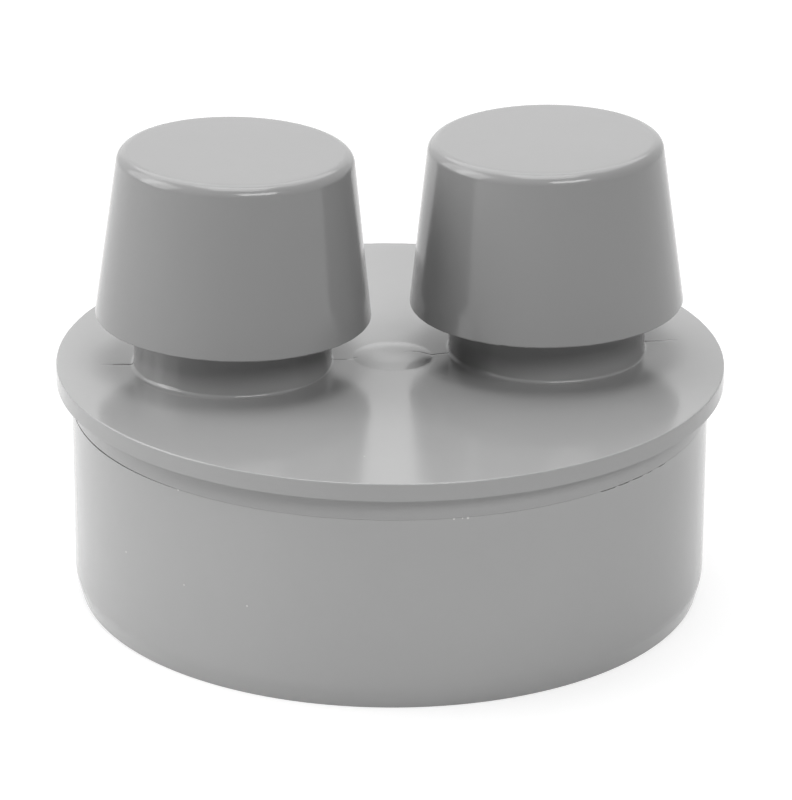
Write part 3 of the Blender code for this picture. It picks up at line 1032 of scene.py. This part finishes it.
stageLook = {
    "floorSize": 1600.0,
    "floorGap": 0.05,  # how far the floor lies below the valve
    "floorColor": (0.82, 0.82, 0.82, 1),
    "floorSeen": (0.40, 0.40, 0.40, 1),  # the part of the floor's seen tone that takes the shadow
    "floorGlow": 0.70,
    "worldColor": (1, 1, 1, 1),
    "worldSeen": 1.0,
    "worldLight": 0.02,
    "lampTarget": (0, 0, 45),
}
lamps = {
    # name: azimuth (0 is in front, 90 is on the right), elevation, distance (mm), size (mm), watts
    "top": (0, 88, 1000, (600, 600), 3.9),
    "topBack": (172, 60, 1200, (1400, 1000), 8.0),
    "left": (-90, 27, 1100, (650, 800), 4.45),
    "leftBack": (-112, 32, 1100, (700, 900), 3.4),
    "key": (17, 39, 1300, (750, 380), 6.3),
    "back": (172, 22, 1400, (1500, 900), 1.0),
}


def towards(azimuth, elevation):
    # The direction from the valve to a place round it: azimuth 0 is in front, 90 is on the right.
    turn, rise = math.radians(azimuth), math.radians(elevation)
    return Vector((math.sin(turn) * math.cos(rise), -math.cos(turn) * math.cos(rise), math.sin(rise)))


def seenDirectly(bench):
    # 1 for the rays that show the backdrop itself, 0 for those that light the valve by it.
    rays = bench.add("ShaderNodeLightPath").outputs
    seen = bench.calculate("MAXIMUM", rays["Is Camera Ray"], rays["Is Glossy Ray"])
    return bench.calculate("MAXIMUM", seen, rays["Is Transmission Ray"])


def makeStage():
    material = bpy.data.materials.new("paleFloor")
    material.use_nodes = True
    material.node_tree.nodes.clear()
    bench = NodeBench(material.node_tree)
    seen = seenDirectly(bench)
    plain = bench.add("ShaderNodeBsdfDiffuse", {"Color": stageLook["floorColor"]}).outputs[0]
    shadowed = bench.add("ShaderNodeBsdfDiffuse", {"Color": stageLook["floorSeen"]}).outputs[0]
    glow = bench.add("ShaderNodeEmission", {"Strength": stageLook["floorGlow"]}).outputs[0]
    pale = bench.add("ShaderNodeAddShader", {0: shadowed, 1: glow}).outputs[0]
    chosen = bench.add("ShaderNodeMixShader", {0: seen, 1: plain, 2: pale}).outputs[0]
    below = bench.add("ShaderNodeNewGeometry").outputs["Backfacing"]
    clear = bench.add("ShaderNodeBsdfTransparent").outputs[0]
    surface = bench.add("ShaderNodeMixShader", {0: below, 1: chosen, 2: clear}).outputs[0]
    bench.add("ShaderNodeOutputMaterial", {"Surface": surface})
    bm = bmesh.new()
    bmesh.ops.create_grid(bm, x_segments=2, y_segments=2, size=stageLook["floorSize"] / 2 * mm)
    mesh = bpy.data.meshes.new("paleFloor")
    bm.to_mesh(mesh)
    bm.free()
    mesh.materials.append(material)
    floor = bpy.data.objects.new("paleFloor", mesh)
    floor.location.z = cadLow.z - stageLook["floorGap"] * mm
    bpy.context.scene.collection.objects.link(floor)


def makeWorld():
    world = bpy.data.worlds.new("studio")
    bpy.context.scene.world = world
    world.use_nodes = True
    world.node_tree.nodes.clear()
    bench = NodeBench(world.node_tree)
    seen = seenDirectly(bench)
    white = stageLook["worldColor"]
    dim = {"Color": white, "Strength": stageLook["worldLight"]}
    bright = {"Color": white, "Strength": stageLook["worldSeen"]}
    light = bench.add("ShaderNodeBackground", dim).outputs[0]
    backdrop = bench.add("ShaderNodeBackground", bright).outputs[0]
    chosen = bench.add("ShaderNodeMixShader", {0: seen, 1: light, 2: backdrop}).outputs[0]
    bench.add("ShaderNodeOutputWorld", {"Surface": chosen})


def makeLamps():
    target = Vector(stageLook["lampTarget"]) * mm
    for name, (azimuth, elevation, distance, size, strength) in lamps.items():
        light = bpy.data.lights.new(name + "Softbox", "AREA")
        light.shape = "RECTANGLE"
        light.size = size[0] * mm
        light.size_y = size[1] * mm
        light.energy = strength
        lamp = bpy.data.objects.new(name + "Softbox", light)
        away = towards(azimuth, elevation)
        lamp.location = target + away * distance * mm
        lamp.rotation_mode = "QUATERNION"
        lamp.rotation_quaternion = away.to_track_quat("Z", "Y")
        lamp.visible_camera = False
        bpy.context.scene.collection.objects.link(lamp)


camera = {
    "target": (1.303, 1.801, 32.434),
    "distance": 770.0,
    "elevation": 21.72,
    "azimuth": -8.07,
    "roll": 0.34,
    "lens": 199.0,
    "sensor": 36.0,
}


def makeCamera():
    back = towards(camera["azimuth"], camera["elevation"])
    right = Vector((0, 0, 1)).cross(back).normalized()
    up = back.cross(right)
    roll = math.radians(camera["roll"])
    tilted = right * math.cos(roll) + up * math.sin(roll)
    upright = up * math.cos(roll) - right * math.sin(roll)
    lens = bpy.data.cameras.new("studioCamera")
    lens.lens = camera["lens"]
    lens.sensor_width = camera["sensor"]
    lens.sensor_fit = "AUTO"
    eye = bpy.data.objects.new("studioCamera", lens)
    turn = Matrix((tilted, upright, back)).transposed().to_4x4()
    place = Vector(camera["target"]) * mm + back * camera["distance"] * mm
    eye.matrix_world = Matrix.Translation(place) @ turn
    bpy.context.scene.collection.objects.link(eye)
    bpy.context.scene.camera = eye


makeStage()
makeWorld()
makeLamps()
makeCamera()
bpy.context.scene.view_settings.view_transform = "Standard"
print("stage, lamps and camera ready")
